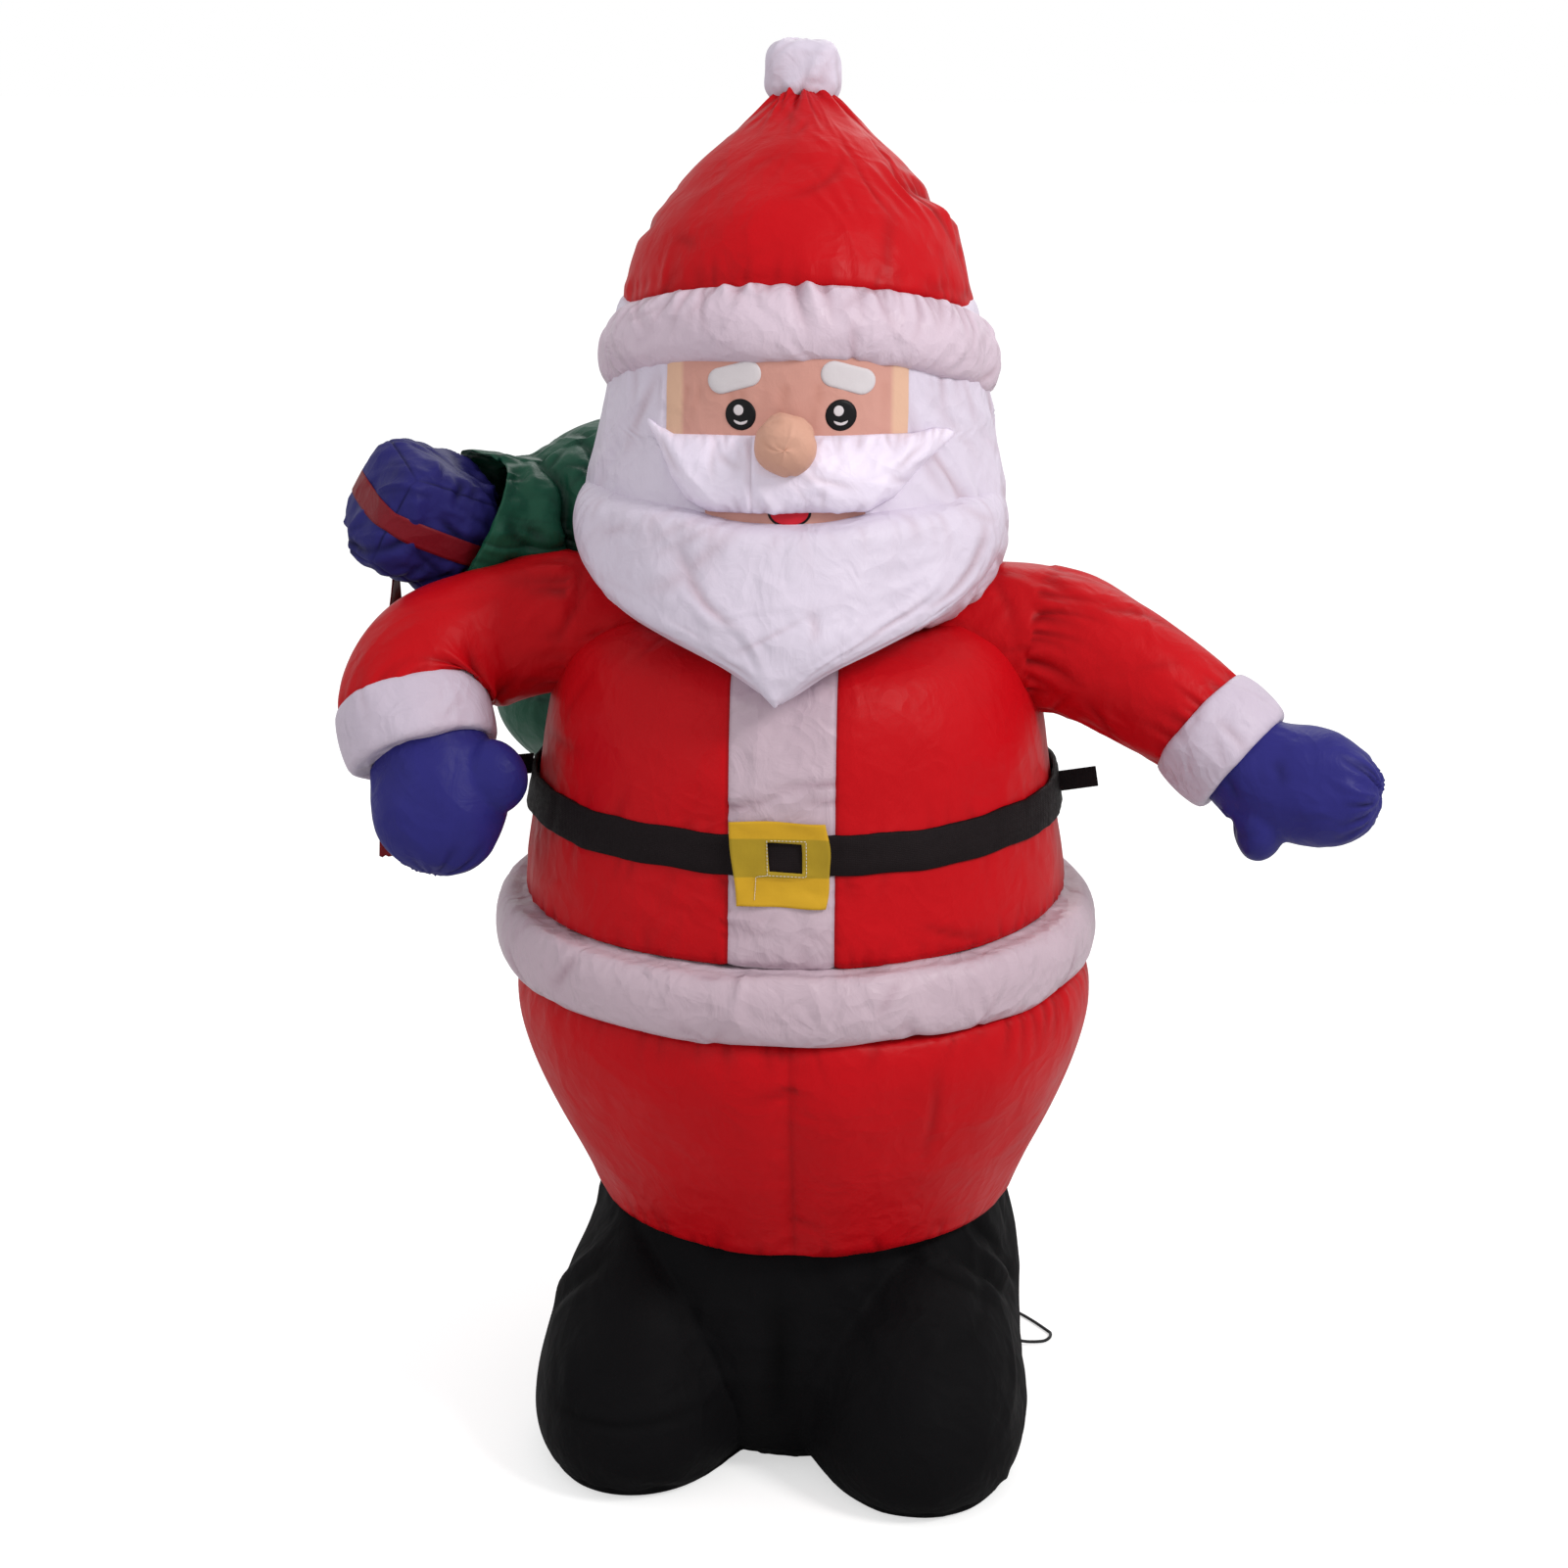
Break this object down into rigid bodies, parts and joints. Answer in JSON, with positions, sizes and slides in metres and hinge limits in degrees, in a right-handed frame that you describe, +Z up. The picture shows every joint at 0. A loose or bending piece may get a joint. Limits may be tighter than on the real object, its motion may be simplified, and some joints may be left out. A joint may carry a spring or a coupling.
{
  "type": "inflatable santa",
  "caption": "Inflated lawn figure of a round santa in red and white with belt, buckle, mittens, a green sack and a gift, standing on flat black boots.",
  "frame": {"origin": "on the ground under the body's vertical axis, on the boots' flat underside", "axes": "+Z up, the figure faces -Y, its own left hand is at +X"},
  "size_m": [0.8831, 0.5598, 1.2109],
  "materials": {
    "red_fabric": "soft sheen woven polyester",
    "white_fabric": "soft sheen woven polyester",
    "black_fabric": "soft sheen woven polyester",
    "blue_fabric": "soft sheen woven polyester",
    "dark_red_fabric": "soft sheen woven polyester",
    "green_fabric": "soft sheen woven polyester",
    "skin_fabric": "soft sheen woven polyester",
    "yellow_fabric": "soft sheen woven polyester",
    "webbing": "flat woven webbing",
    "black_plastic": "moulded, satin",
    "cord_rubber": "smooth jacket",
    "pin_metal": "plated"
  },
  "bodies": {
    "root": {"beard": "white_fabric", "belt": "black_fabric", "blower": "black_plastic", "boots": "black_fabric", "buckle": "yellow_fabric", "cord_coil": "cord_rubber", "cord_gland": "cord_rubber", "face_panel": "skin_fabric", "gift": "blue_fabric", "gift_ribbon": "dark_red_fabric", "hat": "red_fabric", "hat_brim": "white_fabric", "head": "white_fabric", "jacket": "red_fabric", "jacket_trim": "white_fabric", "left_cuff": "white_fabric", "left_eye": "black_fabric", "left_eyebrow": "white_fabric", "left_ground_tab": "webbing", "left_mitten": "blue_fabric", "left_sleeve": "red_fabric", "left_tether_tab": "webbing", "moustache": "white_fabric", "mouth": "red_fabric", "nose": "skin_fabric", "placket": "white_fabric", "plug_pin_1": "pin_metal", "plug_pin_2": "pin_metal", "pompom": "white_fabric", "power_cord": "cord_rubber", "power_plug": "black_plastic", "ribbon_tail": "dark_red_fabric", "right_cuff": "white_fabric", "right_eye": "black_fabric", "right_eyebrow": "white_fabric", "right_ground_tab": "webbing", "right_mitten": "blue_fabric", "right_sleeve": "red_fabric", "right_tether_tab": "webbing", "sack": "green_fabric", "trousers": "red_fabric"}
  },
  "joints": []
}
